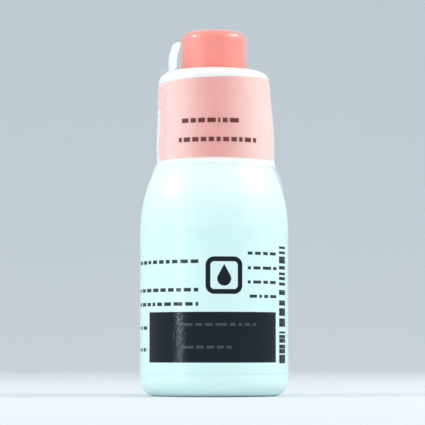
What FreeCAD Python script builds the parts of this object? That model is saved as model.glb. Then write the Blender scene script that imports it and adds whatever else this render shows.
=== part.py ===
import FreeCAD, Part
import math
import os
import Sketcher

# Contact lens solution bottle in millimetres: a squeeze bottle with a nozzle plug, a stepped screw cap,
# a label sleeve and a shrink seal with a tear strip, holding its solution.
# The origin is the centre of the base, +Z runs up the axis, and the front of the label faces -Y.

DIMENSIONS = [
    # Bottle
    ("body_radius", 14.5, "outside of the straight wall"),
    ("wall", 1.1, "bottle wall"),
    ("base_round", 3.0, "round between base and wall"),
    ("push_up", 1.2, "height of the dome under the base"),
    ("stand_width", 2.0, "width of the flat ring that the bottle stands on"),
    ("body_top", 32.8, "height where the shoulder begins"),
    ("shoulder_rise", 12.75, "height of the ledge under the cap above the start of the shoulder"),
    ("ledge_step", 0.1, "ledge radius past the cap's skirt"),
    ("ledge_round", 0.4, "round on the ledge and at the neck's foot"),
    ("neck_radius", 8.4, "outside of the neck between its threads"),
    ("neck_wall", 1.5, "neck wall"),
    ("neck_rise", 14.25, "height of the neck's rim above the ledge"),
    ("rim_round", 0.3, "rounds on the neck's rim and inside the cap"),
    # Screw thread
    ("thread_pitch", 3.0, "rise in one turn"),
    ("thread_depth", 0.9, "height of each thread"),
    ("thread_foot", 1.3, "width of a thread at its foot"),
    ("thread_crest", 0.7, "width of a thread at its crest"),
    ("thread_sink", 0.2, "depth of a thread's foot inside its wall"),
    ("thread_clearance", 0.25, "gap between a crest and the other wall"),
    ("thread_lift", 4.45, "middle of the neck's thread above the ledge where it begins"),
    ("thread_land", 4.55, "middle of the neck's thread below the rim where it ends"),
    ("cap_turns", 1.5, "turns of the cap's thread"),
    # Inner plug
    ("flange_thickness", 1.0, "flange on the neck's rim"),
    ("flange_inset", 0.1, "flange edge inside the neck's outside"),
    ("plug_fit", 0.02, "gap between plug and bore"),
    ("plug_depth", 5.0, "length of the plug inside the bore"),
    ("plug_wall", 0.9, "wall of the plug"),
    ("nozzle_foot", 4.2, "radius of the nozzle at the flange"),
    ("nozzle_tip", 2.1, "radius of the nozzle at its tip"),
    ("nozzle_rise", 7.6, "height of the nozzle above the flange"),
    ("nozzle_wall", 1.0, "wall of the nozzle"),
    ("nozzle_round", 0.6, "round at the nozzle's tip"),
    ("orifice_radius", 0.55, "drop hole"),
    ("orifice_depth", 1.0, "length of the drop hole"),
    # Screw cap
    ("cap_wall", 1.2, "wall of the skirt"),
    ("skirt_draft", 0.1, "skirt radius gained from shoulder to foot"),
    ("skirt_gap", 0.25, "gap between ledge and skirt"),
    ("seat_gap", 0.2, "gap between the plug's flange and the cap"),
    ("cap_roof", 1.3, "thickness of the cap's shoulder and top"),
    ("top_room", 1.05, "gap between nozzle and cap top at the flange"),
    ("top_wall", 1.3, "wall of the narrow top"),
    ("top_draft", 0.09, "radius that the narrow top loses on its way up"),
    ("top_round", 1.75, "round on the narrow top"),
    ("shoulder_round", 0.8, "round on the cap's shoulder"),
    ("tip_room", 1.9, "gap between the nozzle's tip and the cap"),
    ("pin_clearance", 0.1, "gap between sealing pin and drop hole"),
    ("pin_reach", 0.8, "length of the pin inside the drop hole"),
    # Label sleeve
    ("label_thickness", 0.1, "label film"),
    ("label_fit", 0.02, "gap between label and wall"),
    ("label_foot_margin", 1.4, "bare wall between base round and label"),
    ("label_top_margin", 0.4, "bare wall between label and shoulder"),
    # Solution
    ("fill_gap", 0.05, "gap between solution and wall"),
    ("fill_rise", 3.2, "level of the solution above the start of the shoulder"),
    # Shrink seal
    ("film_thickness", 0.1, "seal film"),
    ("film_gap", 0.1, "gap between the film and what it lies on"),
    ("film_roll", 2.25, "radius of the film's rolled rim"),
    ("rim_gap", 0.67, "gap between the rolled rim and the narrow top"),
    ("bulge_slack", 0.5, "film stands off the skirt at its bulge"),
    ("bulge_rise", 3.2, "height of the bulge above the skirt's foot"),
    ("waist_slack", 0.4, "film stands off the skirt at its foot"),
    ("film_landing", 2.3, "drop from the skirt's foot to where the film meets the shoulder"),
    ("film_skirt", 5.6, "drop from the skirt's foot to the film's lower edge"),
    ("strip_angle", 32.0, "width of the tear strip round the axis, degrees"),
    ("slit_angle", 0.8, "width of each perforation round the axis, degrees"),
    ("strip_azimuth", 198.0, "place of the tear strip round the axis from +X, degrees"),
    ("tab_bend", 0.7, "radius where the tab turns up from the rim"),
    ("tab_gap", 0.81, "gap between the tab's curled tip and the narrow top"),
    ("tab_rise", 5.1, "height of the tab above its bend"),
    ("tab_round", 1.2, "round on the tab's corners"),
]

FULL_TURN = 360.0
MATCH = 1e-4


class Size:
    """A size from the sheet, or worked out from some: its number and the expression to follow."""

    def __init__(self, number, text):
        self.number = number
        self.text = text

    def __add__(self, other):
        other = as_size(other)
        return Size(self.number + other.number, f"({self.text} + {other.text})")

    def __sub__(self, other):
        other = as_size(other)
        return Size(self.number - other.number, f"({self.text} - {other.text})")

    def __rsub__(self, other):
        return as_size(other) - self

    def __mul__(self, other):
        other = as_size(other)
        return Size(self.number * other.number, f"({self.text} * {other.text})")

    def __truediv__(self, other):
        other = as_size(other)
        return Size(self.number / other.number, f"({self.text} / {other.text})")

    def root(self):
        return Size(math.sqrt(self.number), f"sqrt({self.text})")

    def sine(self):
        return Size(math.sin(math.radians(self.number)), f"sin({self.text})")


def as_size(value):
    return value if isinstance(value, Size) else Size(float(value), f"{float(value)}")


def fill_sheet(doc):
    """Writes the sheet and gives each of its rows as a Size."""
    sheet = doc.addObject("Spreadsheet::Sheet", "Dimensions")
    sizes = {}
    for row, (alias, number, note) in enumerate(DIMENSIONS, start=1):
        sheet.set(f"A{row}", alias)
        sheet.set(f"B{row}", str(number))
        sheet.setAlias(f"B{row}", alias)
        sheet.set(f"C{row}", note)
        sizes[alias] = Size(number, f"Dimensions.{alias}")
    doc.recompute()
    return sizes


def leg(long_side, other):
    """The third side of a right triangle, from its longest side and one other."""
    return (long_side * long_side - other * other).root()


def bow(half_chord, rise):
    """The radius of an arc, from half its chord and its rise."""
    return (half_chord * half_chord + rise * rise) / (rise * 2)


def arc_centre(start, end, radius, left):
    """The centre of the shorter arc from start to end that turns left, or right, on its way."""
    chord = end - start
    side = FreeCAD.Vector(-chord.y, chord.x, 0) / chord.Length
    reach = math.sqrt(radius**2 - (chord.Length / 2) ** 2)
    return (start + end) / 2 + side * (reach if left else -reach)


def new_body(doc, label):
    body = doc.addObject("PartDesign::Body", label)
    body.Label = label
    return body


def origin_plane(body, role):
    return [item for item in body.Origin.OriginFeatures if item.Role == role][0]


def draw_section(body, name, path, role="XZ_Plane"):
    """A closed outline on one of the body's upright planes. Each step of the path is a distance from the
    axis and a height. Where the stretch to the next step is an arc, its radius and the way that it turns,
    left or right, come after them."""
    sketch = body.newObject("Sketcher::SketchObject", name)
    sketch.AttachmentSupport = (origin_plane(body, role), [""])
    sketch.MapMode = "FlatFace"
    path = [(as_size(step[0]), as_size(step[1]), *step[2:]) for step in path]
    points = [FreeCAD.Vector(step[0].number, step[1].number, 0) for step in path]
    normal = FreeCAD.Vector(0, 0, 1)
    ends = []
    for index, step in enumerate(path):
        start = points[index]
        end = points[(index + 1) % len(points)]
        if len(step) == 2:
            sketch.addGeometry(Part.LineSegment(start, end))
            ends.append((1, 2))
            continue
        left = step[3] == "left"
        centre = arc_centre(start, end, step[2].number, left)
        first, last = (start, end) if left else (end, start)
        angles = [math.atan2(point.y - centre.y, point.x - centre.x) for point in (first, last)]
        circle = Part.Circle(centre, normal, step[2].number)
        sketch.addGeometry(Part.ArcOfCircle(circle, *angles))
        ends.append((1, 2) if left else (2, 1))
    for index, step in enumerate(path):
        following = (index + 1) % len(path)
        sketch.addConstraint(
            Sketcher.Constraint("Coincident", index, ends[index][1], following, ends[following][0])
        )
        tie(sketch, "DistanceX", index, ends[index][0], step[0])
        tie(sketch, "DistanceY", index, ends[index][0], step[1])
        if len(step) > 2:
            number = sketch.addConstraint(Sketcher.Constraint("Radius", index, step[2].number))
            sketch.setExpression(f"Constraints[{number}]", step[2].text)
    return sketch


def tie(sketch, kind, edge, end, size):
    """Holds one end of an edge at a distance from the sketch's origin, or on the axis if that is nothing."""
    if size.number == 0:
        axis = -2 if kind == "DistanceX" else -1
        sketch.addConstraint(Sketcher.Constraint("PointOnObject", edge, end, axis))
        return
    number = sketch.addConstraint(Sketcher.Constraint(kind, -1, 1, edge, end, size.number))
    sketch.setExpression(f"Constraints[{number}]", size.text)


def revolve(body, name, section, angle=None):
    """Turns a section about the axis: all the way round, or through an angle centred on the section."""
    feature = body.newObject("PartDesign::Revolution", name)
    feature.Profile = section
    feature.ReferenceAxis = (section, ["V_Axis"])
    feature.Angle = FULL_TURN
    if angle is not None:
        feature.Midplane = True
        feature.setExpression("Angle", angle.text)
    body.Document.recompute()


def round_rings(body, name, radius, rings):
    """Rounds the circular edges at these radii and heights."""
    names = []
    for index, edge in enumerate(body.Tip.Shape.Edges, start=1):
        if edge.Degenerated or not isinstance(edge.Curve, Part.Circle):
            continue
        for ring_radius, ring_height in rings:
            same_radius = abs(edge.Curve.Radius - as_size(ring_radius).number) < MATCH
            same_height = abs(edge.Curve.Center.z - as_size(ring_height).number) < MATCH
            if same_radius and same_height:
                names.append(f"Edge{index}")
    if len(names) != len(rings):
        raise RuntimeError(f"{name}: found {len(names)} edges, not {len(rings)}")
    base = body.Tip
    feature = body.newObject("PartDesign::Fillet", name)
    feature.Base = (base, names)
    feature.setExpression("Radius", radius.text)
    body.Document.recompute()


def wind_thread(body, name, sizes, root, inward, start, length):
    """A thread on a wall of this radius, pointing inward or outward, whose middle begins at the start
    height and climbs this length."""
    sign = -1 if inward else 1
    foot = root - sizes["thread_sink"] * sign
    crest = root + sizes["thread_depth"] * sign
    half_foot = sizes["thread_foot"] / 2
    half_crest = sizes["thread_crest"] / 2
    path = [
        (foot, start - half_foot),
        (root, start - half_foot),
        (crest, start - half_crest),
        (crest, start + half_crest),
        (root, start + half_foot),
        (foot, start + half_foot),
    ]
    section = draw_section(body, f"{name}_section", path)
    feature = body.newObject("PartDesign::AdditiveHelix", name)
    feature.Profile = section
    feature.ReferenceAxis = (section, ["V_Axis"])
    feature.Mode = "pitch-height-angle"
    feature.setExpression("Pitch", sizes["thread_pitch"].text)
    feature.setExpression("Height", length.text)
    body.Document.recompute()


def work_out(sizes):
    """Adds the sizes and heights that more than one piece needs."""
    given = dict(sizes)
    # Bottle heights
    sizes["ledge_height"] = given["body_top"] + given["shoulder_rise"]
    sizes["neck_top"] = sizes["ledge_height"] + given["neck_rise"]
    sizes["thread_start"] = sizes["ledge_height"] + given["thread_lift"]
    # Cap and neck
    sizes["bore"] = given["neck_radius"] - given["neck_wall"]
    sizes["cap_bore"] = given["neck_radius"] + given["thread_depth"] + given["thread_clearance"]
    sizes["skirt_top_radius"] = sizes["cap_bore"] + given["cap_wall"]
    sizes["skirt_foot_radius"] = sizes["skirt_top_radius"] + given["skirt_draft"]
    sizes["skirt_foot"] = sizes["ledge_height"] + given["skirt_gap"]
    sizes["flange_top"] = sizes["neck_top"] + given["flange_thickness"]
    sizes["seat"] = sizes["flange_top"] + given["seat_gap"]
    sizes["cap_shoulder"] = sizes["seat"] + given["cap_roof"]
    sizes["nozzle_top"] = sizes["flange_top"] + given["nozzle_rise"]
    sizes["top_bore"] = given["nozzle_foot"] + given["top_room"]
    sizes["top_radius"] = sizes["top_bore"] + given["top_wall"]
    # Shoulder of the bottle, one arc that leaves the straight wall without a corner
    sizes["ledge_radius"] = sizes["skirt_foot_radius"] + given["ledge_step"]
    across = given["body_radius"] - sizes["ledge_radius"]
    sizes["shoulder_arc"] = bow(given["shoulder_rise"], across)
    sizes["shoulder_centre"] = given["body_radius"] - sizes["shoulder_arc"]
    # Dome under the base
    sizes["dome_radius"] = given["body_radius"] - given["base_round"] - given["stand_width"]
    sizes["dome_arc"] = bow(sizes["dome_radius"], given["push_up"])
    # Film, whose rim rolls in from where the round of the cap's shoulder begins
    film = given["film_gap"] + given["film_thickness"]
    sizes["roll_foot"] = sizes["cap_shoulder"] - given["shoulder_round"]
    sizes["film_radius"] = sizes["skirt_top_radius"] + film
    sizes["film_bulge"] = sizes["skirt_foot_radius"] + film + given["bulge_slack"]
    sizes["film_waist"] = sizes["skirt_foot_radius"] + film + given["waist_slack"]


def shoulder_radius(sizes, offset, height):
    """Radius at a height of the shoulder's arc, moved out by an offset."""
    return sizes["shoulder_centre"] + leg(sizes["shoulder_arc"] + offset, height - sizes["body_top"])


def make_bottle(doc, sizes):
    body = new_body(doc, "bottle")
    wall = sizes["wall"]
    inside = sizes["body_radius"] - wall
    under_ledge = sizes["ledge_height"] - wall
    inside_ledge = shoulder_radius(sizes, 0 - wall, under_ledge)
    path = [
        (0, sizes["push_up"], sizes["dome_arc"], "right"),
        (sizes["dome_radius"], 0),
        (sizes["body_radius"], 0),
        (sizes["body_radius"], sizes["body_top"], sizes["shoulder_arc"], "left"),
        (sizes["ledge_radius"], sizes["ledge_height"]),
        (sizes["neck_radius"], sizes["ledge_height"]),
        (sizes["neck_radius"], sizes["neck_top"]),
        (sizes["bore"], sizes["neck_top"]),
        (sizes["bore"], under_ledge),
        (inside_ledge, under_ledge, sizes["shoulder_arc"] - wall, "right"),
        (inside, sizes["body_top"]),
        (inside, wall),
        (sizes["dome_radius"], wall, sizes["dome_arc"], "left"),
        (0, sizes["push_up"] + wall),
    ]
    revolve(body, "bottle_wall", draw_section(body, "bottle_section", path))
    round_rings(body, "base_edge", sizes["base_round"], [(sizes["body_radius"], 0)])
    round_rings(body, "inner_base_edge", sizes["base_round"] - wall, [(inside, wall)])
    ledge = [
        (sizes["ledge_radius"], sizes["ledge_height"]),
        (sizes["neck_radius"], sizes["ledge_height"]),
    ]
    round_rings(body, "ledge_edges", sizes["ledge_round"], ledge)
    round_rings(body, "rim_edge", sizes["rim_round"], [(sizes["neck_radius"], sizes["neck_top"])])
    start = sizes["thread_start"]
    length = sizes["neck_top"] - sizes["thread_land"] - start
    wind_thread(body, "neck_thread", sizes, sizes["neck_radius"], False, start, length)
    return body


def make_plug(doc, sizes):
    body = new_body(doc, "inner_plug")
    plug = sizes["bore"] - sizes["plug_fit"]
    hollow = plug - sizes["plug_wall"]
    flange = sizes["neck_radius"] - sizes["flange_inset"]
    plug_end = sizes["neck_top"] - sizes["plug_depth"]
    hole_foot = sizes["nozzle_top"] - sizes["orifice_depth"]
    path = [
        (sizes["orifice_radius"], sizes["nozzle_top"]),
        (sizes["orifice_radius"], hole_foot),
        (sizes["nozzle_tip"] - sizes["nozzle_wall"], hole_foot),
        (sizes["nozzle_foot"] - sizes["nozzle_wall"], sizes["neck_top"]),
        (hollow, sizes["neck_top"]),
        (hollow, plug_end),
        (plug, plug_end),
        (plug, sizes["neck_top"]),
        (flange, sizes["neck_top"]),
        (flange, sizes["flange_top"]),
        (sizes["nozzle_foot"], sizes["flange_top"]),
        (sizes["nozzle_tip"], sizes["nozzle_top"]),
    ]
    revolve(body, "plug_wall", draw_section(body, "plug_section", path))
    round_rings(body, "nozzle_edge", sizes["nozzle_round"], [(sizes["nozzle_tip"], sizes["nozzle_top"])])
    return body


def make_cap(doc, sizes):
    body = new_body(doc, "screw_cap")
    ceiling = sizes["nozzle_top"] + sizes["tip_room"]
    top = ceiling + sizes["cap_roof"]
    top_edge = sizes["top_radius"] - sizes["top_draft"]
    pin = sizes["orifice_radius"] - sizes["pin_clearance"]
    path = [
        (0, sizes["nozzle_top"] - sizes["pin_reach"]),
        (pin, sizes["nozzle_top"] - sizes["pin_reach"]),
        (pin, ceiling),
        (sizes["top_bore"] - sizes["top_draft"], ceiling),
        (sizes["top_bore"], sizes["seat"]),
        (sizes["cap_bore"], sizes["seat"]),
        (sizes["cap_bore"], sizes["skirt_foot"]),
        (sizes["skirt_foot_radius"], sizes["skirt_foot"]),
        (sizes["skirt_top_radius"], sizes["cap_shoulder"]),
        (sizes["top_radius"], sizes["cap_shoulder"]),
        (top_edge, top),
        (0, top),
    ]
    revolve(body, "cap_shell", draw_section(body, "cap_section", path))
    round_rings(body, "top_edge", sizes["top_round"], [(top_edge, top)])
    shoulder = [(sizes["skirt_top_radius"], sizes["cap_shoulder"])]
    round_rings(body, "shoulder_edge", sizes["shoulder_round"], shoulder)
    small = [
        (sizes["top_radius"], sizes["cap_shoulder"]),
        (sizes["skirt_foot_radius"], sizes["skirt_foot"]),
        (sizes["top_bore"] - sizes["top_draft"], ceiling),
    ]
    round_rings(body, "small_edges", sizes["rim_round"], small)
    pitch = sizes["thread_pitch"]
    start = sizes["thread_start"] - pitch / 2
    wind_thread(body, "cap_thread", sizes, sizes["cap_bore"], True, start, pitch * sizes["cap_turns"])
    return body


def make_label(doc, sizes):
    body = new_body(doc, "label_sleeve")
    inside = sizes["body_radius"] + sizes["label_fit"]
    outside = inside + sizes["label_thickness"]
    foot = sizes["base_round"] + sizes["label_foot_margin"]
    top = sizes["body_top"] - sizes["label_top_margin"]
    path = [(inside, foot), (outside, foot), (outside, top), (inside, top)]
    revolve(body, "label_film", draw_section(body, "label_section", path))
    return body


def make_solution(doc, sizes):
    body = new_body(doc, "solution")
    gap = sizes["wall"] + sizes["fill_gap"]
    inside = sizes["body_radius"] - gap
    level = sizes["body_top"] + sizes["fill_rise"]
    path = [
        (0, sizes["push_up"] + gap, sizes["dome_arc"], "right"),
        (sizes["dome_radius"], gap),
        (inside, gap),
        (inside, sizes["body_top"], sizes["shoulder_arc"] - gap, "left"),
        (shoulder_radius(sizes, 0 - gap, level), level),
        (0, level),
    ]
    revolve(body, "solution_fill", draw_section(body, "solution_section", path))
    round_rings(body, "solution_edge", sizes["base_round"] - gap, [(inside, gap)])
    return body


def film_wall(sizes, depth):
    """The film from its foot on the shoulder up to its roll, at this depth under its outer face."""
    gap = sizes["film_gap"] + sizes["film_thickness"] - depth
    foot = sizes["skirt_foot"] - sizes["film_skirt"]
    landing = sizes["skirt_foot"] - sizes["film_landing"]
    return [
        (shoulder_radius(sizes, gap, foot), foot, sizes["shoulder_arc"] + gap, "left"),
        (shoulder_radius(sizes, gap, landing), landing),
        (sizes["film_waist"] - depth, sizes["skirt_foot"]),
        (sizes["film_bulge"] - depth, sizes["skirt_foot"] + sizes["bulge_rise"]),
        (sizes["film_radius"] - depth, sizes["roll_foot"], sizes["film_roll"] - depth, "left"),
    ]


def there_and_back(outer, inner):
    """Joins a film's outer face, walked one way, to its inner face, walked back."""
    back = []
    for index in reversed(range(len(inner))):
        before = inner[index - 1]
        arc = ()
        if index and len(before) > 2:
            arc = (before[2], "right" if before[3] == "left" else "left")
        back.append((*inner[index][:2], *arc))
    return outer + back


def make_band(doc, sizes):
    body = new_body(doc, "seal_band")
    faces = []
    for depth in (as_size(0), sizes["film_thickness"]):
        top = sizes["roll_foot"] + sizes["film_roll"] - depth
        rim = [
            (sizes["film_radius"] - sizes["film_roll"], top),
            (sizes["top_radius"] + sizes["rim_gap"], top),
        ]
        faces.append(film_wall(sizes, depth) + rim)
    section = draw_section(body, "band_section", there_and_back(*faces))
    gap = sizes["strip_angle"] + sizes["slit_angle"] * 2
    revolve(body, "band_film", section, FULL_TURN - gap)
    turn_to(body, sizes["strip_azimuth"] - FULL_TURN / 2)
    return body


def make_strip(doc, sizes):
    body = new_body(doc, "tear_strip")
    roll = sizes["film_roll"]
    bend = sizes["tab_bend"]
    tab = sizes["film_radius"] - roll
    tip = sizes["top_radius"] + sizes["tab_gap"] + sizes["film_thickness"]
    curl = bow(sizes["tab_rise"], tab - tip)
    bend_rise = leg(roll + bend, bend)
    tab_foot = sizes["roll_foot"] + bend_rise
    slope = sizes["tab_rise"] / curl
    tip_across = leg(as_size(1), slope)
    faces = []
    for depth in (as_size(0), sizes["film_thickness"]):
        share = (roll - depth) / (roll + bend)
        faces.append(
            film_wall(sizes, depth)
            + [
                (tab + bend * share, sizes["roll_foot"] + bend_rise * share, bend + depth, "right"),
                (tab - depth, tab_foot, curl - depth, "left"),
                (tab - curl + (curl - depth) * tip_across, tab_foot + (curl - depth) * slope),
            ]
        )
    section = draw_section(body, "strip_section", there_and_back(*faces))
    revolve(body, "strip_film", section, sizes["strip_angle"])
    corner_rise = sizes["tab_rise"] - sizes["tab_round"]
    corner_radius = tab - curl + leg(curl, corner_rise)
    half_width = corner_radius * (sizes["strip_angle"] / 2).sine()
    round_tab(body, sizes["tab_round"], half_width, tab_foot + corner_rise)
    turn_to(body, sizes["strip_azimuth"])
    return body


def round_tab(body, radius, half_width, height):
    """Cuts both corners off the tab with arcs that begin at this half width and height."""
    path = [
        (half_width, height, radius, "left"),
        (half_width - radius, height + radius),
        (half_width - radius, height + radius * 2),
        (half_width + radius, height + radius * 2),
        (half_width + radius, height),
    ]
    section = draw_section(body, "tab_corner_section", path, "YZ_Plane")
    full = body.Tip.Shape.Volume
    corner = body.newObject("PartDesign::Pocket", "tab_corner")
    corner.Profile = section
    corner.Type = "ThroughAll"
    corner.Reversed = True
    body.Document.recompute()
    both = body.newObject("PartDesign::Mirrored", "tab_corners")
    both.Originals = [corner]
    both.MirrorPlane = (origin_plane(body, "XZ_Plane"), [""])
    body.Tip = both
    body.Document.recompute()
    if not both.Shape.Volume < corner.Shape.Volume < full:
        raise RuntimeError("the tab's corners were not cut")


def turn_to(body, azimuth):
    turn = FreeCAD.Rotation(FreeCAD.Vector(0, 0, 1), azimuth.number)
    body.Placement = FreeCAD.Placement(FreeCAD.Vector(), turn)
    body.setExpression("Placement.Rotation.Angle", azimuth.text)


def check(doc, bodies):
    for item in doc.Objects:
        if "Invalid" in item.State or "Error" in item.State:
            raise RuntimeError(f"{item.Label}: {item.State}")
    for body in bodies:
        if body.Shape.isNull() or not body.Shape.isValid() or len(body.Shape.Solids) != 1:
            raise RuntimeError(f"{body.Label} is not one sound solid")


def main():
    doc = FreeCAD.newDocument("solution_bottle")
    sizes = fill_sheet(doc)
    work_out(sizes)
    makers = [make_bottle, make_plug, make_cap, make_label, make_solution, make_band, make_strip]
    bodies = [make(doc, sizes) for make in makers]
    doc.recompute()
    check(doc, bodies)
    os.makedirs("parts", exist_ok=True)
    for body in bodies:
        body.Shape.exportStep(f"parts/{body.Label}.step")
        print(f"{body.Label}: {body.Shape.Volume:.1f} mm3")


main()
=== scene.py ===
import math
import bpy
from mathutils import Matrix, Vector, noise


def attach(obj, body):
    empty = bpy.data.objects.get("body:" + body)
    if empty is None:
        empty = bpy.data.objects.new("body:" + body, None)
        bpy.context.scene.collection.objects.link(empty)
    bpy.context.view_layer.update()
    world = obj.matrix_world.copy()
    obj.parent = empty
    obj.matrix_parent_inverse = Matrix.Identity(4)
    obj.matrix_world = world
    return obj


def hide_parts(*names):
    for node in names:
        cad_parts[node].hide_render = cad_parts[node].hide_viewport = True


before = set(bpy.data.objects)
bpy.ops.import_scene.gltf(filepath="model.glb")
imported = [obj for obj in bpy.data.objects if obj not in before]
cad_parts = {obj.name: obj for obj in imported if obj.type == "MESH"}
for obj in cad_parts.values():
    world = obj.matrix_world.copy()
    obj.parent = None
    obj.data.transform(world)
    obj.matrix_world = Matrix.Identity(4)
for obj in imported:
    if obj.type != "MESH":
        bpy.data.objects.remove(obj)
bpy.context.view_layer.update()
mm = 0.001
print("frame loaded:", ", ".join(sorted(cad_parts)))


# Small helpers for the modelling: lengths in millimetres, turns in degrees

mergeGap = 0.005


def clearSelection():
    if bpy.context.mode != "OBJECT":
        bpy.ops.object.mode_set(mode="OBJECT")
    bpy.ops.object.select_all(action="DESELECT")


def turnOf(co):  # degrees round the axis, 0 at the front of the label and growing to the right
    return math.degrees(math.atan2(co.x, -co.y))


def hump(value, middle, width):
    return math.exp(-(((value - middle) / width) ** 2))


def along(points, value):  # reads a list of points as a bent line
    for (low, first), (high, last) in zip(points, points[1:]):
        if value <= high:
            return first + (last - first) * max(value - low, 0.0) / (high - low)
    return points[-1][1]


def startRing(name, radius, height, columns):
    clearSelection()
    bpy.ops.mesh.primitive_circle_add(vertices=columns, radius=radius * mm, location=(0, 0, height * mm))
    piece = bpy.context.object
    piece.name = name
    piece.data.name = name
    bpy.ops.object.transform_apply(location=True, rotation=True, scale=True)
    return piece


def dropVertices(piece, unwanted):
    bpy.ops.object.mode_set(mode="EDIT")
    bpy.ops.mesh.select_all(action="DESELECT")
    bpy.ops.object.mode_set(mode="OBJECT")
    for vertex in piece.data.vertices:
        vertex.select = unwanted(vertex.co)
    bpy.ops.object.mode_set(mode="EDIT")
    bpy.ops.mesh.delete(type="VERT")
    bpy.ops.object.mode_set(mode="OBJECT")


def pullRings(profile):  # extrudes the ring from point to point of a profile of radius and height
    bpy.ops.object.mode_set(mode="EDIT")
    bpy.ops.mesh.select_all(action="SELECT")
    for (radius, height), (nextRadius, nextHeight) in zip(profile, profile[1:]):
        rise = (0, 0, (nextHeight - height) * mm)
        bpy.ops.mesh.extrude_region_move(TRANSFORM_OT_translate={"value": rise})
        share = nextRadius / radius
        bpy.ops.transform.resize(value=(share, share, 1), center_override=(0, 0, 0))
    bpy.ops.mesh.select_all(action="SELECT")
    bpy.ops.mesh.remove_doubles(threshold=mergeGap * mm)
    bpy.ops.mesh.normals_make_consistent(inside=False)
    bpy.ops.object.mode_set(mode="OBJECT")


def arcSteps(centre, radius, fromTurn, toTurn, count):
    steps = []
    for index in range(1, count + 1):
        turn = math.radians(fromTurn + (toTurn - fromTurn) * index / count)
        steps.append((centre[0] + radius * math.cos(turn), centre[1] + radius * math.sin(turn)))
    return steps


def lineSteps(start, end, count):
    return [
        (start[0] + (end[0] - start[0]) * index / count, start[1] + (end[1] - start[1]) * index / count)
        for index in range(1, count + 1)
    ]


def curveSteps(points, count):  # smooth line through a few points
    steps = []
    ends = [points[0]] + points + [points[-1]]
    for before, start, end, after in zip(ends, ends[1:], ends[2:], ends[3:]):
        for index in range(1, count + 1):
            share = index / count
            step = []
            for axis in (0, 1):
                bend = 2 * before[axis] - 5 * start[axis] + 4 * end[axis] - after[axis]
                twist = 3 * (start[axis] - end[axis]) + after[axis] - before[axis]
                drift = end[axis] - before[axis]
                step.append(start[axis] + (drift * share + bend * share**2 + twist * share**3) / 2)
            steps.append(tuple(step))
    return steps


def thicken(piece, thickness):
    solid = piece.modifiers.new("filmThickness", "SOLIDIFY")
    solid.thickness = thickness * mm
    solid.offset = -1
    bpy.ops.object.modifier_apply(modifier=solid.name)


# Shrink seal: one film, torn along two perforations into a band and a strip

seal = {
    "shoulderCentre": (-10.17, 32.8),  # the bottle's shoulder arc
    "shoulderArc": 24.87,  # its radius at the film's outer face
    "foot": 40.2,
    "landing": 43.5,
    "waist": (11.45, 45.8),  # radius and height
    "bulge": (11.55, 49.0),
    "top": (10.95, 61.5),
    "roll": (2.6, 2.2),  # half width and height of the rolled rim
    "rollTurn": 90,
    "rim": 7.22,
    "rings": {"foot": 7, "waist": 5, "bulge": 8, "top": 32, "roll": 12, "rim": 6, "tabRoll": 8, "tab": 7},
    "columns": 360,
    "thickness": 0.08,
    "smooth": 50,
    "backSlit": -88.5,
    "frontSlit": -55.5,
    "cutPitch": 1.9,
    "cutEnd": 0.4,  # the cuts stop this far below the top
    "bridge": {"reach": 0.95, "draw": 0.35, "steep": 1.6, "slack": 0.2},
    "tab": [(8.95, 64.2), (9.05, 65.4), (8.95, 66.7), (8.68, 67.9), (8.2, 69.2)],
    "tabTurn": 58,  # where the tab leaves the roll
    "tabRound": 1.0,
    "tabFlare": 5.0,
    "tuck": [  # height, and how far the left side is drawn in
        (40.2, 0.06), (43.5, 0.10), (45.8, 0.34), (49.0, 0.32), (54.0, 0.28), (58.0, 0.14), (61.5, 0.03),
    ],
    "slack": [  # height, and how far the right side stands off
        (40.2, 0.20), (40.8, 0.25), (42.4, 0.45), (44.0, 0.40), (46.0, 0.42), (49.0, 0.33), (53.0, 0.38),
        (57.0, 0.12), (61.5, 0.0),
    ],
    "backLift": {"depth": 0.20, "power": 0.8, "width": 2.0},  # the cuts' edges stand off the cap
    "frontLift": {"depth": 0.07, "power": 1.0, "width": 1.6},
    "wobble": {"depth": 0.03, "scale": 0.55, "stretch": 0.4},
    "footWave": {"depth": 0.22, "scale": 0.35},
    "pleats": {  # of the rolled rim
        "radius": 9.2, "reach": 2.0, "heights": (62.5, 63.8),
        "scale": 0.9, "seed": 5, "down": 0.10, "out": 0.14,
    },
    "nick": {"depth": 0.22, "turn": 72, "width": 1.3, "height": 62.8, "tall": 0.4},  # in the rolled rim
}

halfColumn = 180 / seal["columns"]  # the slits lie midway between two columns


def filmWall():
    centre = seal["shoulderCentre"]
    arc = seal["shoulderArc"]
    rings = seal["rings"]
    lower = math.degrees(math.asin((seal["foot"] - centre[1]) / arc))
    upper = math.degrees(math.asin((seal["landing"] - centre[1]) / arc))
    foot = (centre[0] + arc * math.cos(math.radians(lower)), seal["foot"])
    wall = [foot] + arcSteps(centre, arc, lower, upper, rings["foot"])
    wall += lineSteps(wall[-1], seal["waist"], rings["waist"])
    wall += lineSteps(seal["waist"], seal["bulge"], rings["bulge"])
    wall += lineSteps(seal["bulge"], seal["top"], rings["top"])
    return wall


def rollSteps(toTurn, count):
    top = seal["top"]
    wide, tall = seal["roll"]
    turns = [math.radians(toTurn * index / count) for index in range(1, count + 1)]
    return [(top[0] - wide + wide * math.cos(turn), top[1] + tall * math.sin(turn)) for turn in turns]


def inStrip(co):  # between the two perforations
    return seal["backSlit"] < turnOf(co) < seal["frontSlit"]


def cutAt(height):  # 1 in the middle of each cut of the perforations, 0 at the bridges between them
    if height < seal["landing"] or height > seal["top"][1] - seal["cutEnd"]:
        return 0.0
    return abs(math.sin(math.pi * (height - seal["landing"]) / seal["cutPitch"]))


def liftAt(name, turn, height):
    lift = seal[name + "Lift"]
    return lift["depth"] * cutAt(height) ** lift["power"] * hump(turn, seal[name + "Slit"], lift["width"])


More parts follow.
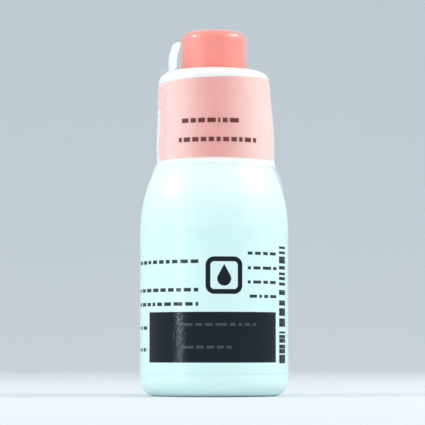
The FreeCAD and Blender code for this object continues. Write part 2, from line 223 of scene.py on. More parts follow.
def bridgeTurn(turn, height):  # the band's edges reach the strip at the bridges
    bridge = seal["bridge"]
    reach = bridge["reach"] - bridge["draw"] * min(bridge["steep"] * cutAt(height), 1.0)
    if abs(turn - seal["backSlit"] + halfColumn) < bridge["slack"]:
        return reach
    if abs(turn - seal["frontSlit"] - halfColumn) < bridge["slack"]:
        return -reach
    return 0.0


def settleFilm(piece):
    wobble = seal["wobble"]
    wave = seal["footWave"]
    pleats = seal["pleats"]
    nick = seal["nick"]
    lowPleat, highPleat = pleats["heights"]
    for vertex in piece.data.vertices:
        turn = turnOf(vertex.co)
        height = vertex.co.z / mm
        radius = math.hypot(vertex.co.x, vertex.co.y) / mm
        side = math.sin(math.radians(turn))
        spot = Vector((vertex.co.x, vertex.co.y, vertex.co.z * wobble["stretch"]))
        out = wobble["depth"] * noise.noise(spot / mm * wobble["scale"])
        if height < seal["top"][1] and side > 0:  # loose on the right
            out += along(seal["slack"], height) * side**2
        elif height < seal["top"][1]:  # drawn tight on the left
            out += along(seal["tuck"], height) * side
        out += liftAt("back", turn, height)
        out += liftAt("front", turn, height)
        up = 0.0
        if height < seal["landing"]:
            spot = Vector((vertex.co.x, vertex.co.y, 0))
            up = wave["depth"] * noise.noise(spot / mm * wave["scale"])
            up *= (seal["landing"] - height) / (seal["landing"] - seal["foot"])
        if radius < pleats["radius"] and lowPleat < height < highPleat:
            spot = Vector((vertex.co.x, vertex.co.y, pleats["seed"]))
            pleat = noise.noise(spot / mm * pleats["scale"])
            ease = (pleats["radius"] - radius) / pleats["reach"]
            up -= pleats["down"] * ease * abs(pleat)
            out += pleats["out"] * ease * pleat
        dent = nick["depth"] * hump(turn, nick["turn"], nick["width"])
        out += dent * hump(height, nick["height"], nick["tall"])
        turn += bridgeTurn(turn, height)
        radius += out
        vertex.co.x = radius * math.sin(math.radians(turn)) * mm
        vertex.co.y = -radius * math.cos(math.radians(turn)) * mm
        vertex.co.z += up * mm


def shapeTab(strip):  # flares the tab to the front and draws its corners in to a round
    middle = (seal["backSlit"] + seal["frontSlit"]) / 2
    half = (seal["frontSlit"] - seal["backSlit"]) / 2 - halfColumn
    foot = seal["tab"][0][1]
    tip = seal["tab"][-1][1]
    cornerFoot = tip - seal["tabRound"]
    for vertex in strip.data.vertices:
        height = vertex.co.z / mm
        if height < foot:
            continue
        radius = math.hypot(vertex.co.x, vertex.co.y)
        across = (turnOf(vertex.co) - middle) / half
        halfWidth = radius / mm * math.radians(half)
        drawn = 1.0
        if height > cornerFoot:
            rise = min(height - cornerFoot, seal["tabRound"])
            drawn -= (seal["tabRound"] - math.sqrt(seal["tabRound"] ** 2 - rise**2)) / halfWidth
        flare = seal["tabFlare"] * (across + 1) / 2 * math.sin(math.pi / 2 * (height - foot) / (tip - foot))
        turn = math.radians(middle + across * half * drawn + flare)
        vertex.co.x = radius * math.sin(turn)
        vertex.co.y = -radius * math.cos(turn)


def makeBand():
    rings = seal["rings"]
    wall = filmWall()
    band = startRing("sealBand", *wall[0], seal["columns"])
    dropVertices(band, inStrip)
    profile = wall + rollSteps(seal["rollTurn"], rings["roll"])
    pullRings(profile + lineSteps(profile[-1], (seal["rim"], profile[-1][1]), rings["rim"]))
    settleFilm(band)
    thicken(band, seal["thickness"])
    bpy.ops.object.shade_smooth_by_angle(angle=math.radians(seal["smooth"]))
    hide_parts("seal_band")
    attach(band, "seal")
    return band


def makeStrip():
    rings = seal["rings"]
    wall = filmWall()
    strip = startRing("tearStrip", *wall[0], seal["columns"])
    dropVertices(strip, lambda co: not inStrip(co))
    profile = wall + rollSteps(seal["tabTurn"], rings["tabRoll"])
    pullRings(profile + curveSteps([profile[-1]] + seal["tab"], rings["tab"]))
    settleFilm(strip)
    shapeTab(strip)
    thicken(strip, seal["thickness"])
    bpy.ops.object.shade_smooth_by_angle(angle=math.radians(seal["smooth"]))
    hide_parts("tear_strip")
    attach(strip, "strip")
    return strip


sealBand = makeBand()
tearStrip = makeStrip()
print("shrink seal: band and tear strip made")


# Label sleeve

label = {
    "radius": 14.57,
    "thickness": 0.05,
    "foot": 4.4,
    "top": 32.4,
    "rows": 28,
    "columns": 360,
    "seam": (172.0, 184.0),  # turns between which the sleeve laps over itself
    "seamStep": 0.045,
    "smooth": 30,
}


def makeLabel():
    piece = startRing("labelSleeve", label["radius"], label["foot"], label["columns"])
    start = (label["radius"], label["foot"])
    pullRings([start] + lineSteps(start, (label["radius"], label["top"]), label["rows"]))
    for vertex in piece.data.vertices:
        if label["seam"][0] <= turnOf(vertex.co) % 360 <= label["seam"][1]:
            radius = math.hypot(vertex.co.x, vertex.co.y) / mm
            share = (radius + label["seamStep"]) / radius
            vertex.co.x *= share
            vertex.co.y *= share
    thicken(piece, label["thickness"])
    bpy.ops.object.shade_smooth_by_angle(angle=math.radians(label["smooth"]))
    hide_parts("label_sleeve")
    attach(piece, "bottle")
    return piece


labelSleeve = makeLabel()
print("label sleeve made")


# Shader helpers

def feed(tree, socket, value):
    if isinstance(value, (int, float, tuple)):
        socket.default_value = value
    else:
        tree.links.new(value, socket)


def calc(tree, operation, *values, clamp=False):
    node = tree.nodes.new("ShaderNodeMath")
    node.operation = operation
    node.use_clamp = clamp
    for socket, value in zip(node.inputs, values):
        feed(tree, socket, value)
    return node.outputs[0]


def product(tree, first, *others):
    for value in others:
        first = calc(tree, "MULTIPLY", first, value)
    return first


def highest(tree, first, *others):
    for value in others:
        first = calc(tree, "MAXIMUM", first, value)
    return first


def reachOf(tree, first, second):
    squares = calc(tree, "ADD", calc(tree, "POWER", first, 2.0), calc(tree, "MULTIPLY", second, second))
    return calc(tree, "SQRT", squares)


def spread(tree, value, fromLow, fromHigh, toLow, toHigh, soft=False):
    node = tree.nodes.new("ShaderNodeMapRange")
    node.interpolation_type = "SMOOTHSTEP" if soft else "LINEAR"
    names = ("Value", "From Min", "From Max", "To Min", "To Max")
    for name, number in zip(names, (value, fromLow, fromHigh, toLow, toHigh)):
        feed(tree, node.inputs[name], number)
    return node.outputs["Result"]


def rising(tree, value, low, high):  # 0 below, 1 above, eased between
    return spread(tree, value, low, high, 0.0, 1.0, soft=True)


def falling(tree, value, low, high):  # 1 below, 0 above, eased between
    return spread(tree, value, low, high, 1.0, 0.0, soft=True)


def blendColour(tree, share, first, second):
    node = tree.nodes.new("ShaderNodeMix")
    node.data_type = "RGBA"
    feed(tree, node.inputs["Factor"], share)
    feed(tree, node.inputs["A"], first)
    feed(tree, node.inputs["B"], second)
    return node.outputs["Result"]


def objectPlace(tree):
    return tree.nodes.new("ShaderNodeTexCoord").outputs["Object"]


def newGroup(name, inputs, outputs):
    group = bpy.data.node_groups.new(name, "ShaderNodeTree")
    for socketName, number in inputs.items():
        socket = group.interface.new_socket(name=socketName, in_out="INPUT", socket_type="NodeSocketFloat")
        socket.default_value = number
    for socketName in outputs:
        group.interface.new_socket(name=socketName, in_out="OUTPUT", socket_type="NodeSocketFloat")
    entry = group.nodes.new("NodeGroupInput")
    result = group.nodes.new("NodeGroupOutput")
    return group, entry.outputs, result.inputs


def place(tree, group, **values):
    node = tree.nodes.new("ShaderNodeGroup")
    node.node_tree = group
    for name, value in values.items():
        feed(tree, node.inputs[name], value)
    return node.outputs


def newMaterial(name):
    material = bpy.data.materials.new(name)
    material.use_nodes = True
    return material, material.node_tree, material.node_tree.nodes["Principled BSDF"]


def dress(piece, material):
    piece.data.materials.clear()
    piece.data.materials.append(material)


# Shared effects

skinEffect = {
    "grain": 900.0,
    "drift": 90.0,
    "detail": {"Fine": 1.5, "Slow": 2.0},
    "slowReach": (0.3, 0.7),  # values between which the slow noise mostly lies
}

printEffect = {
    "soft": {"Turn": 0.25, "Height": 0.06},  # width of a patch's edges
    "dashSharp": 30.0,
}


def makeWrapGroup():  # turn round the axis in degrees and height in millimetres
    group, _, result = newGroup("wrapPlace", {}, ["Turn", "Height"])
    parts = group.nodes.new("ShaderNodeSeparateXYZ")
    group.links.new(objectPlace(group), parts.inputs[0])
    turn = calc(group, "ARCTAN2", parts.outputs["X"], calc(group, "MULTIPLY", parts.outputs["Y"], -1.0))
    group.links.new(calc(group, "DEGREES", turn), result["Turn"])
    group.links.new(calc(group, "MULTIPLY", parts.outputs["Z"], 1.0 / mm), result["Height"])
    return group


def makeSkinGroup():  # fine moulded grain and slow unevenness
    sockets = {"Grain": skinEffect["grain"], "Drift": skinEffect["drift"]}
    group, entry, result = newGroup("mouldedSkin", sockets, ["Fine", "Slow"])
    where = objectPlace(group)
    for outName, inName in (("Fine", "Grain"), ("Slow", "Drift")):
        node = group.nodes.new("ShaderNodeTexNoise")
        group.links.new(where, node.inputs["Vector"])
        group.links.new(entry[inName], node.inputs["Scale"])
        node.inputs["Detail"].default_value = skinEffect["detail"][outName]
        group.links.new(node.outputs["Fac"], result[outName])
    return group


def makeBlockGroup():  # soft-edged patch between two turns and two heights
    sockets = {"Turn": 0.0, "Height": 0.0, "Left": 0.0, "Right": 10.0, "Low": 0.0, "High": 10.0}
    group, entry, result = newGroup("printBlock", sockets, ["Mask"])
    edges = []
    for value, low, high in (("Turn", "Left", "Right"), ("Height", "Low", "High")):
        fromLow = calc(group, "SUBTRACT", entry[value], entry[low])
        fromHigh = calc(group, "SUBTRACT", entry[high], entry[value])
        edge = calc(group, "DIVIDE", calc(group, "MINIMUM", fromLow, fromHigh), printEffect["soft"][value])
        edges.append(calc(group, "ADD", edge, 0.5, clamp=True))
    group.links.new(calc(group, "MULTIPLY", *edges), result["Mask"])
    return group


def makeRowGroup(block):  # a row of plain dashes
    sockets = {
        "Turn": 0.0, "Height": 0.0, "Left": 0.0, "Right": 10.0, "Low": 0.0, "High": 10.0,
        "Pitch": 8.0, "Gap": 0.2, "Seed": 0.0,
    }
    group, entry, result = newGroup("printRow", sockets, ["Mask"])
    names = ("Turn", "Height", "Left", "Right", "Low", "High")
    patch = place(group, block, **{name: entry[name] for name in names})["Mask"]
    cells = group.nodes.new("ShaderNodeTexVoronoi")
    cells.voronoi_dimensions = "1D"
    cells.feature = "DISTANCE_TO_EDGE"
    cells.inputs["Scale"].default_value = 1.0
    spot = calc(group, "ADD", calc(group, "DIVIDE", entry["Turn"], entry["Pitch"]), entry["Seed"])
    group.links.new(spot, cells.inputs["W"])
    off = calc(group, "SUBTRACT", cells.outputs["Distance"], entry["Gap"])
    dash = calc(group, "ADD", calc(group, "MULTIPLY", off, printEffect["dashSharp"]), 0.5, clamp=True)
    group.links.new(calc(group, "MULTIPLY", patch, dash), result["Mask"])
    return group


wrapPlace = makeWrapGroup()
mouldedSkin = makeSkinGroup()
printBlock = makeBlockGroup()
printRow = makeRowGroup(printBlock)
print("shared shader groups made")


# How the finishes use the shared effects

def startFinish(name, finish):
    material, tree, shader = newMaterial(name)
    for socket, number in finish["constants"].items():
        shader.inputs[socket].default_value = number
    skin = place(tree, mouldedSkin, Grain=finish["grain"], Drift=finish["drift"])
    return material, tree, shader, skin


def mottle(tree, skin, finish):
    return blendColour(tree, skin["Slow"], finish["colour"], finish["pale"])


def roughen(tree, shader, skin, finish):
    rough = spread(tree, skin["Slow"], *skinEffect["slowReach"], *finish["roughness"])
    tree.links.new(rough, shader.inputs["Roughness"])


def bumpFrom(tree, shader, height, finish):
    strength, distance = finish["bump"]
    node = tree.nodes.new("ShaderNodeBump")
    node.inputs["Strength"].default_value = strength
    node.inputs["Distance"].default_value = distance * mm
    feed(tree, node.inputs["Height"], height)
    tree.links.new(node.outputs["Normal"], shader.inputs["Normal"])


def patchAt(tree, wrap, left, right, low, high):
    sockets = {"Left": left, "Right": right, "Low": low, "High": high}
    return place(tree, printBlock, Turn=wrap["Turn"], Height=wrap["Height"], **sockets)["Mask"]


def dashRows(tree, wrap, rows, dash):
    masks = []
    for left, right, middle, tall, seed in rows:
        sockets = {"Left": left, "Right": right, "Low": middle - tall / 2, "High": middle + tall / 2}
        sockets.update({"Pitch": dash["pitch"], "Gap": dash["gap"], "Seed": seed})
        masks.append(place(tree, printRow, Turn=wrap["Turn"], Height=wrap["Height"], **sockets)["Mask"])
    return highest(tree, *masks)


# Finishes: bump is strength and depth in millimetres, constants go on the shader's own sockets

bottleFinish = {
    "grain": 1400.0,
    "drift": 70.0,
    "colour": (0.68, 0.93, 0.94, 1),
    "pale": (0.74, 0.95, 0.955, 1),
    "shoulder": (0.80, 0.965, 0.97, 1),  # whiter above the liquid, and painted light: the upturned shoulder made lighter as if lit more from above
    "litShoulderRise": (34.0, 42.0),
    "roughness": (0.30, 0.42),
    "bump": (0.12, 0.02),
    "constants": {"Specular IOR Level": 0.75},
}


def makeBottleFinish():
    material, tree, shader, skin = startFinish("milkyBottlePlastic", bottleFinish)
    height = place(tree, wrapPlace)["Height"]
    # painted light: the bottle turns whiter up the shoulder, partly for the wall with no liquid behind it,
    # partly standing in for light from above
    rise = rising(tree, height, *bottleFinish["litShoulderRise"])
    colour = blendColour(tree, rise, mottle(tree, skin, bottleFinish), bottleFinish["shoulder"])
    tree.links.new(colour, shader.inputs["Base Color"])
    roughen(tree, shader, skin, bottleFinish)
    bumpFrom(tree, shader, skin["Fine"], bottleFinish)
    return material


capFinish = {
    "grain": 1800.0,
    "drift": 160.0,
    "colour": (0.95, 0.225, 0.185, 1),
    "pale": (0.97, 0.25, 0.205, 1),
    "roughness": (0.42, 0.52),
    "glossy": (61.6, 62.4),  # the skirt below is dulled by the film that clings to it
    "skirtCoat": 0.1,
    "bump": (0.10, 0.02),
    "constants": {
        "Specular IOR Level": 1.0,
        "Coat Roughness": 0.10,
        "Sheen Weight": 0.6,
        "Sheen Roughness": 0.45,
    },
}


def makeCapFinish():
    material, tree, shader, skin = startFinish("coralCapPlastic", capFinish)
    tree.links.new(mottle(tree, skin, capFinish), shader.inputs["Base Color"])
    height = place(tree, wrapPlace)["Height"]
    coat = spread(tree, height, *capFinish["glossy"], capFinish["skirtCoat"], 1.0, soft=True)
    tree.links.new(coat, shader.inputs["Coat Weight"])
    roughen(tree, shader, skin, capFinish)
    bumpFrom(tree, shader, skin["Fine"], capFinish)
    return material


plugFinish = {
    "grain": 1600.0,
    "drift": 220.0,
    "colour": (0.86, 0.88, 0.88, 1),
    "pale": (0.92, 0.93, 0.93, 1),
    "roughness": (0.28, 0.40),
    "bump": (0.08, 0.02),
    "constants": {
        "Subsurface Weight": 0.2,
        "Subsurface Radius": (1.0, 1.0, 1.0),
        "Subsurface Scale": 0.6 * mm,
    },
}


def makePlugFinish():
    material, tree, shader, skin = startFinish("naturalPlugPlastic", plugFinish)
    tree.links.new(mottle(tree, skin, plugFinish), shader.inputs["Base Color"])
    roughen(tree, shader, skin, plugFinish)
    bumpFrom(tree, shader, skin["Fine"], plugFinish)
    return material


solutionFinish = {
    "grain": 600.0,
    "drift": 60.0,
    "colour": (0.93, 0.97, 0.98, 1),
    "pale": (0.97, 0.99, 1.0, 1),
    "bump": (0.05, 0.05),
    "constants": {"Transmission Weight": 1.0, "IOR": 1.335, "Roughness": 0.02},
}


def makeSolutionFinish():
    material, tree, shader, skin = startFinish("clearSolution", solutionFinish)
    tree.links.new(mottle(tree, skin, solutionFinish), shader.inputs["Base Color"])
    bumpFrom(tree, shader, skin["Slow"], solutionFinish)
    return material


filmFinish = {
    "grain": 700.0,
    "drift": 140.0,
    # the warm tint is partly the film's own and partly painted light: coral light bounced from the cap
    "colour": (0.99, 0.92, 0.90, 1),
    "stripColour": (0.97, 0.82, 0.81, 1),
    "stripHeights": (44.5, 60.5),
    "rimColour": (0.89, 0.90, 0.91, 1),
    "rimRise": (61.40, 61.64),
    "rimTilt": 0.45,  # the rim's lower edge runs higher on the right
    "litWaistColour": (0.895, 0.965, 0.96, 1),  # takes up the bottle's tint, made lighter than the bottle: painted light that lifts the shade in the corner under the cap
    "waistTint": (45.55, 45.95),
    "waistRise": (43.9, 45.4),  # milky where the film is drawn in under the cap, and painted light: the white band also covers the shade in the gap under the cap's skirt
    "waistFade": (45.72, 46.30),
    "cutHalf": 1.1,  # half width of the whitened cuts, in degrees; the whitening is a painted highlight on the cut edges
    "cutTop": 61.0,
    "cutSoft": (0.45, 0.75),
    "edgeReach": (12.0, 22.0),  # degrees to each side of the back slit
    "edgeRise": (44.6, 45.6),
    "edgeFade": (55.5, 58.5),
    "edgePower": 4.0,
    "printColour": (0.12, 0.03, 0.025, 1),
    "rows": [  # left and right turns, middle height, thickness and seed
        (-35.4, 26.0, 53.1, 0.9, 3.0),
        (-37.0, 44.0, 49.4, 0.9, 17.0),
    ],
    "dash": {"pitch": 8.0, "gap": 0.14},
    "veil": 0.29,  # share of the light that the plain film stops
    "veilDrift": 0.015,
    "glance": 0.38,  # milkier where it is seen edge on, partly real and partly painted reflection that pales the film's sides
    "glanceBlend": 0.9,
    "footVeil": 0.075,
    "footFade": (45.2, 45.9),
    "footGlance": 0.24,  # the clear foot shows as a pale line where it stands off the shoulder
    "footRise": (41.2, 42.9),
    "footPower": 16.0,
    "veils": {
        "rim": 0.96,
        "waist": 0.92,
        "cuts": 0.75,
        "edge": 0.92,  # at the back slit, where the film is drawn up and its edge shows white, with painted sheen where it is seen edge on
        "print": 0.92,
    },
    "shade": 0.1,  # share of its veil that the film throws as shadow
    "tabRise": (64.2, 64.6),  # the tab above also lets the light of the room through
    "roughness": (0.36, 0.48),
    "bump": (0.15, 0.08),
    "constants": {"Specular IOR Level": 0.25},
}


def cutHighlightMask(tree, wrap):  # whitened cuts along both perforations: painted highlight where the cut edges catch the light
    half = filmFinish["cutHalf"]
    slits = [
        patchAt(tree, wrap, seal[name] - half, seal[name] + half, seal["landing"], filmFinish["cutTop"])
        for name in ("frontSlit", "backSlit")
    ]
    beat = calc(tree, "SUBTRACT", wrap["Height"], seal["landing"])
    beat = calc(tree, "SINE", calc(tree, "MULTIPLY", beat, math.pi / seal["cutPitch"]))
    beat = rising(tree, calc(tree, "ABSOLUTE", beat), *filmFinish["cutSoft"])
    return product(tree, highest(tree, *slits), beat)


def edgeSheenMask(tree, wrap, facing):  # the film's edge at the back slit, whiter where it is seen edge on: painted sheen
    off = calc(tree, "ABSOLUTE", calc(tree, "SUBTRACT", wrap["Turn"], seal["backSlit"]))
    return product(
        tree,
        falling(tree, off, *filmFinish["edgeReach"]),
        calc(tree, "POWER", facing, filmFinish["edgePower"]),
        falling(tree, wrap["Height"], *filmFinish["edgeFade"]),
        rising(tree, wrap["Height"], *filmFinish["edgeRise"]),
    )


def filmMasks(tree, wrap, facing):
    height = wrap["Height"]
    tilt = calc(tree, "SINE", calc(tree, "RADIANS", wrap["Turn"]))
    tilt = calc(tree, "MULTIPLY", tilt, filmFinish["rimTilt"])
    under = rising(tree, height, *filmFinish["waistRise"])
    above = falling(tree, height, *filmFinish["waistFade"])
    return {
        "rim": rising(tree, calc(tree, "SUBTRACT", height, tilt), *filmFinish["rimRise"]),
        # partly the film drawn in, partly painted light over the shade in the gap under the cap
        "waist": calc(tree, "MINIMUM", under, above),
        "cuts": cutHighlightMask(tree, wrap),
        "edge": edgeSheenMask(tree, wrap, facing),
        "print": dashRows(tree, wrap, filmFinish["rows"], filmFinish["dash"]),
    }


def filmColour(tree, wrap, masks):
    strip = patchAt(tree, wrap, seal["backSlit"], seal["frontSlit"], *filmFinish["stripHeights"])
    # painted light: the film's warm tint carries part of the coral light bounced from the cap
    colour = blendColour(tree, strip, filmFinish["colour"], filmFinish["stripColour"])
    low = falling(tree, wrap["Height"], *filmFinish["waistTint"])
    # painted light: the waist film is lighter than the bottle, covering the shade where the cap meets the
    # shoulder
    colour = blendColour(tree, low, colour, filmFinish["litWaistColour"])
    # the rim's white print, with the painted highlights of the cuts and the painted sheen at the back slit
    white = highest(tree, masks["rim"], masks["cuts"], masks["edge"])
    colour = blendColour(tree, white, colour, filmFinish["rimColour"])
    return blendColour(tree, masks["print"], colour, filmFinish["printColour"])


def filmVeil(tree, wrap, skin, facing, masks):
    plain = filmFinish["veil"]
    drift = filmFinish["veilDrift"]
    veil = spread(tree, skin["Slow"], *skinEffect["slowReach"], plain - drift, plain + drift)
    # partly painted reflection: the film pales towards its sides where it is seen edge on
    veil = calc(tree, "ADD", veil, calc(tree, "MULTIPLY", facing, filmFinish["glance"]))
    foot = falling(tree, wrap["Height"], *filmFinish["footFade"])
    veil = product(tree, veil, spread(tree, foot, 0.0, 1.0, 1.0, filmFinish["footVeil"] / plain))
    rise = rising(tree, wrap["Height"], *filmFinish["footRise"])
    glance = calc(tree, "POWER", facing, filmFinish["footPower"])
    veil = highest(tree, veil, product(tree, foot, glance, rise, filmFinish["footGlance"]))
    for name, share in filmFinish["veils"].items():
        veil = highest(tree, veil, product(tree, masks[name], share))
    return veil


def makeFilmFinish():
    material, tree, shader, skin = startFinish("milkyShrinkFilm", filmFinish)
    wrap = place(tree, wrapPlace)
    weight = tree.nodes.new("ShaderNodeLayerWeight")
    weight.inputs["Blend"].default_value = filmFinish["glanceBlend"]
    facing = weight.outputs["Facing"]
    masks = filmMasks(tree, wrap, facing)
    tree.links.new(filmColour(tree, wrap, masks), shader.inputs["Base Color"])
    rays = tree.nodes.new("ShaderNodeLightPath").outputs
    tab = spread(tree, wrap["Height"], *filmFinish["tabRise"], 0.0, 1.0)
    bounce = highest(tree, rays["Is Diffuse Ray"], rays["Is Glossy Ray"])
    lit = highest(tree, rays["Is Shadow Ray"], product(tree, bounce, tab))
    shade = spread(tree, lit, 0.0, 1.0, 1.0, filmFinish["shade"])
    inside = tree.nodes.new("ShaderNodeNewGeometry").outputs["Backfacing"]
    outside = calc(tree, "SUBTRACT", 1.0, inside)  # the face seen from within the film adds nothing
    veil = product(tree, filmVeil(tree, wrap, skin, facing, masks), outside, shade)
    tree.links.new(veil, shader.inputs["Alpha"])
    roughen(tree, shader, skin, filmFinish)
    bumpFrom(tree, shader, skin["Slow"], filmFinish)
    return material


labelFinish = {
    "grain": 2600.0,
    "drift": 80.0,
    "colour": (0.67, 0.93, 0.94, 1),
    "pale": (0.72, 0.945, 0.95, 1),
    "solid": (0.001, 0.006, 0.016, 1),  # panel, bars and mark
    "panel": (-59.0, 54.4, 6.55, 16.2),  # left and right turns, low and high
    "bars": (59.2, 70.8, 6.4, 29.1),
    "ink": (0.02, 0.045, 0.055, 1),
    "rows": [  # left and right turns, middle height, thickness and seed
        (-84.0, -12.0, 25.8, 0.7, 1.0),
        (-84.0, -12.0, 20.4, 0.7, 21.0),
        (-84.0, -12.0, 17.7, 0.7, 33.0),
        (26.0, 56.0, 27.4, 0.6, 41.0),
        (26.0, 56.0, 24.6, 0.6, 52.0),
        (26.0, 56.0, 21.9, 0.6, 63.0),
        (26.0, 56.0, 19.2, 0.6, 74.0),
        (-81.0, -62.0, 13.2, 0.7, 85.0),
        (-81.0, -62.0, 9.0, 0.7, 96.0),
    ],
    "stamp": (0.055, 0.075, 0.085, 1),
    "stampRows": [
        (-25.0, 33.0, 13.8, 0.5, 107.0),
        (-25.0, 15.0, 9.5, 0.5, 118.0),
    ],
    "dash": {"pitch": 8.0, "gap": 0.14},
    "soft": 0.03,  # half width of the edges of the mark and the bars
    "roughness": (0.13, 0.18),
    "bump": (0.9, 0.05),
    "constants": {"Specular IOR Level": 0.25},
}

mark = {
    "turn": 7.5,
    "height": 23.15,
    "halfSize": 3.1,
    "corner": 1.2,
    "line": 0.47,
    "dropHeight": 22.5,
    "dropRound": 1.35,
    "dropTip": 25.3,
}

bars = {"pitch": 1.02, "jitter": 0.85, "halfWidth": (0.14, 0.60)}


def inkInside(tree, depth):  # from the depth inside an outline to a mask
    return spread(tree, depth, -labelFinish["soft"], labelFinish["soft"], 0.0, 1.0)


def dropMark(tree, wrap):  # a plain drop in a rounded frame
    across = calc(tree, "SUBTRACT", wrap["Turn"], mark["turn"])
    across = calc(tree, "ABSOLUTE", calc(tree, "MULTIPLY", across, math.radians(label["radius"])))
    upright = calc(tree, "ABSOLUTE", calc(tree, "SUBTRACT", wrap["Height"], mark["height"]))
    inset = mark["halfSize"] - mark["corner"]
    overX = calc(tree, "MAXIMUM", calc(tree, "SUBTRACT", across, inset), 0.0)
    overY = calc(tree, "MAXIMUM", calc(tree, "SUBTRACT", upright, inset), 0.0)
    off = calc(tree, "ABSOLUTE", calc(tree, "SUBTRACT", reachOf(tree, overX, overY), mark["corner"]))
    ring = calc(tree, "SUBTRACT", mark["line"], off)
    rise = calc(tree, "SUBTRACT", wrap["Height"], mark["dropHeight"])
    belly = calc(tree, "SUBTRACT", mark["dropRound"], reachOf(tree, across, rise))
    tall = mark["dropTip"] - mark["dropHeight"]
    lean = math.asin(mark["dropRound"] / tall)
    cone = calc(tree, "MULTIPLY", calc(tree, "SUBTRACT", tall, rise), math.tan(lean))
    cone = calc(tree, "SUBTRACT", cone, across)
    cone = calc(tree, "MINIMUM", cone, calc(tree, "SUBTRACT", rise, mark["dropRound"] * math.sin(lean)))
    return inkInside(tree, highest(tree, ring, belly, cone))


def barMask(tree, wrap):  # plain bars of many widths, one in each random cell
    cells = tree.nodes.new("ShaderNodeTexVoronoi")
    cells.voronoi_dimensions = "1D"
    cells.inputs["Scale"].default_value = 1.0
    cells.inputs["Randomness"].default_value = bars["jitter"]
    tree.links.new(calc(tree, "DIVIDE", wrap["Height"], bars["pitch"]), cells.inputs["W"])
    tint = tree.nodes.new("ShaderNodeSeparateColor")
    tree.links.new(cells.outputs["Color"], tint.inputs[0])
    half = spread(tree, tint.outputs[0], 0.0, 1.0, *bars["halfWidth"])
    stripes = inkInside(tree, calc(tree, "SUBTRACT", half, cells.outputs["Distance"]))
    return product(tree, patchAt(tree, wrap, *labelFinish["bars"]), stripes)


def makeLabelFinish():
    material, tree, shader, skin = startFinish("printedLabelFilm", labelFinish)
    wrap = place(tree, wrapPlace)
    panel = patchAt(tree, wrap, *labelFinish["panel"])
    solid = highest(tree, panel, barMask(tree, wrap), dropMark(tree, wrap))
    ink = dashRows(tree, wrap, labelFinish["rows"], labelFinish["dash"])
    stamp = dashRows(tree, wrap, labelFinish["stampRows"], labelFinish["dash"])
    colour = mottle(tree, skin, labelFinish)
    colour = blendColour(tree, ink, colour, labelFinish["ink"])
    colour = blendColour(tree, solid, colour, labelFinish["solid"])
    colour = blendColour(tree, stamp, colour, labelFinish["stamp"])
    tree.links.new(colour, shader.inputs["Base Color"])
    roughen(tree, shader, skin, labelFinish)
    bumpFrom(tree, shader, skin["Fine"], labelFinish)
    return material


filmMaterial = makeFilmFinish()
dress(sealBand, filmMaterial)
dress(tearStrip, filmMaterial)
dress(labelSleeve, makeLabelFinish())
dress(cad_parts["bottle"], makeBottleFinish())
dress(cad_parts["screw_cap"], makeCapFinish())
dress(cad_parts["inner_plug"], makePlugFinish())
dress(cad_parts["solution"], makeSolutionFinish())
print("finishes on")


# Studio: lengths in metres, turns in degrees

studio = {
    "floor": (0.70, 0.735, 0.77, 1),
    "backdrop": (0.54, 0.59, 0.65, 1),
    "backdropFade": (0.1, 1.0),  # depth over which the floor's colour goes into the backdrop's
    "roughness": 0.8,
    "glow": 0.14,  # share of the backdrop's colour that the camera sees without light
    "size": 2.4,
    "shift": -0.2,
    "wall": 1.6,
    "bend": 0.5,
    "bendSteps": 24,
    "slack": 0.01,
    "fill": (0.97, 1.0, 0.975, 1),
    "fillStrength": 0.815,
    "lampAim": (0, 0, 0.036),
    "lampDistance": 0.5,
    "lamps": [  # name, turn, elevation, width, height, watts, colour
        ("leftSoftbox", -72, 32, 0.44, 0.34, 0.32, (1.0, 1.0, 1.0)),
        ("rightSoftbox", 74, 36, 0.44, 0.34, 0.40, (1.0, 1.0, 1.0)),
        ("leftBulb", -79, 32, 0.12, 0.09, 0.46, (1.0, 1.0, 1.0)),
        ("rightBulb", 86, 41, 0.26, 0.11, 0.72, (1.0, 1.0, 1.0)),
        ("lowStrip", -54, -1, 0.036, 0.052, 0.19, (0.78, 0.92, 1.0)),
    ],
}


def pickEdges(piece, wanted):  # leaves edit mode on, with the edges whose two ends are both wanted
    bpy.ops.object.mode_set(mode="EDIT")
    bpy.ops.mesh.select_mode(type="EDGE")
    bpy.ops.mesh.select_all(action="DESELECT")
    bpy.ops.object.mode_set(mode="OBJECT")
    for edge in piece.data.edges:
        edge.select = all(wanted(piece.data.vertices[index].co) for index in edge.vertices)
    bpy.ops.object.mode_set(mode="EDIT")


def makeSweep():
    clearSelection()
    bpy.ops.mesh.primitive_plane_add(size=studio["size"], location=(0, studio["shift"], 0))
    sweep = bpy.context.object
    sweep.name = "backdrop"
    bpy.ops.object.transform_apply(location=True, rotation=True, scale=True)
    rear = studio["shift"] + studio["size"] / 2 - studio["slack"]
    pickEdges(sweep, lambda co: co.y > rear)
    bpy.ops.mesh.extrude_region_move(TRANSFORM_OT_translate={"value": (0, 0, studio["wall"])})
    pickEdges(sweep, lambda co: co.y > rear and co.z < studio["slack"])
    bpy.ops.mesh.bevel(offset=studio["bend"], segments=studio["bendSteps"], affect="EDGES")
    bpy.ops.object.mode_set(mode="OBJECT")
    bpy.ops.object.shade_smooth()
    return sweep


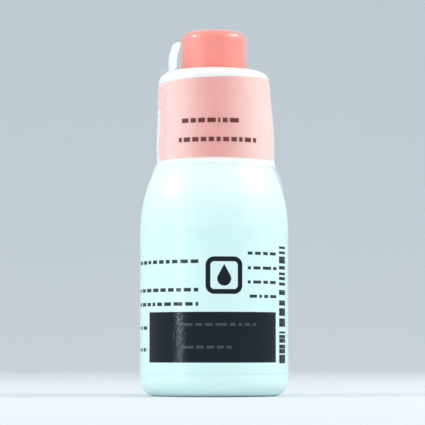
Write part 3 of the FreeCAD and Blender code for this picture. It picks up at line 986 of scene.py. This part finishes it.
def makeBackdrop():
    sweep = makeSweep()
    material, tree, shader = newMaterial("paleBackdrop")
    parts = tree.nodes.new("ShaderNodeSeparateXYZ")
    tree.links.new(objectPlace(tree), parts.inputs[0])
    depth = rising(tree, parts.outputs["Y"], *studio["backdropFade"])
    colour = blendColour(tree, depth, studio["floor"], studio["backdrop"])
    tree.links.new(colour, shader.inputs["Base Color"])
    shader.inputs["Roughness"].default_value = studio["roughness"]
    rays = tree.nodes.new("ShaderNodeLightPath").outputs
    seen = highest(tree, rays["Is Camera Ray"], rays["Is Glossy Ray"], rays["Is Transmission Ray"])
    shader.inputs["Emission Color"].default_value = studio["backdrop"]
    tree.links.new(product(tree, seen, studio["glow"]), shader.inputs["Emission Strength"])
    dress(sweep, material)


def makeLamp(name, turn, elevation, width, height, watts, colour):
    clearSelection()
    side = math.radians(turn)
    lift = math.radians(elevation)
    away = Vector((math.sin(side) * math.cos(lift), -math.cos(side) * math.cos(lift), math.sin(lift)))
    spot = Vector(studio["lampAim"]) + away * studio["lampDistance"]
    bpy.ops.object.light_add(type="AREA", location=spot)
    lamp = bpy.context.object
    lamp.name = name
    lamp.rotation_euler = away.to_track_quat("Z", "Y").to_euler()
    lamp.data.energy = watts
    lamp.data.color = colour
    lamp.data.shape = "RECTANGLE"
    lamp.data.size = width
    lamp.data.size_y = height


def makeWorld():
    world = bpy.data.worlds.new("studioFill")
    world.use_nodes = True
    background = world.node_tree.nodes["Background"]
    background.inputs["Color"].default_value = studio["fill"]
    background.inputs["Strength"].default_value = studio["fillStrength"]
    bpy.context.scene.world = world


makeBackdrop()
for lampValues in studio["lamps"]:
    makeLamp(*lampValues)
makeWorld()
bpy.context.scene.view_settings.view_transform = "Standard"
print("studio lit")


# Camera at the photograph's place

view = {
    "place": (-0.33, -420.0, 8.9),
    "tilt": 3.69,
    "lens": 181.0,
    "sensor": 36.0,
    "nearest": 10.0,
}


def makeCamera():
    clearSelection()
    bpy.ops.object.camera_add(
        location=[value * mm for value in view["place"]],
        rotation=(math.radians(90 + view["tilt"]), 0, 0),
    )
    camera = bpy.context.object
    camera.name = "photoCamera"
    camera.data.lens = view["lens"]
    camera.data.sensor_width = view["sensor"]
    camera.data.clip_start = view["nearest"] * mm
    bpy.context.scene.camera = camera


makeCamera()
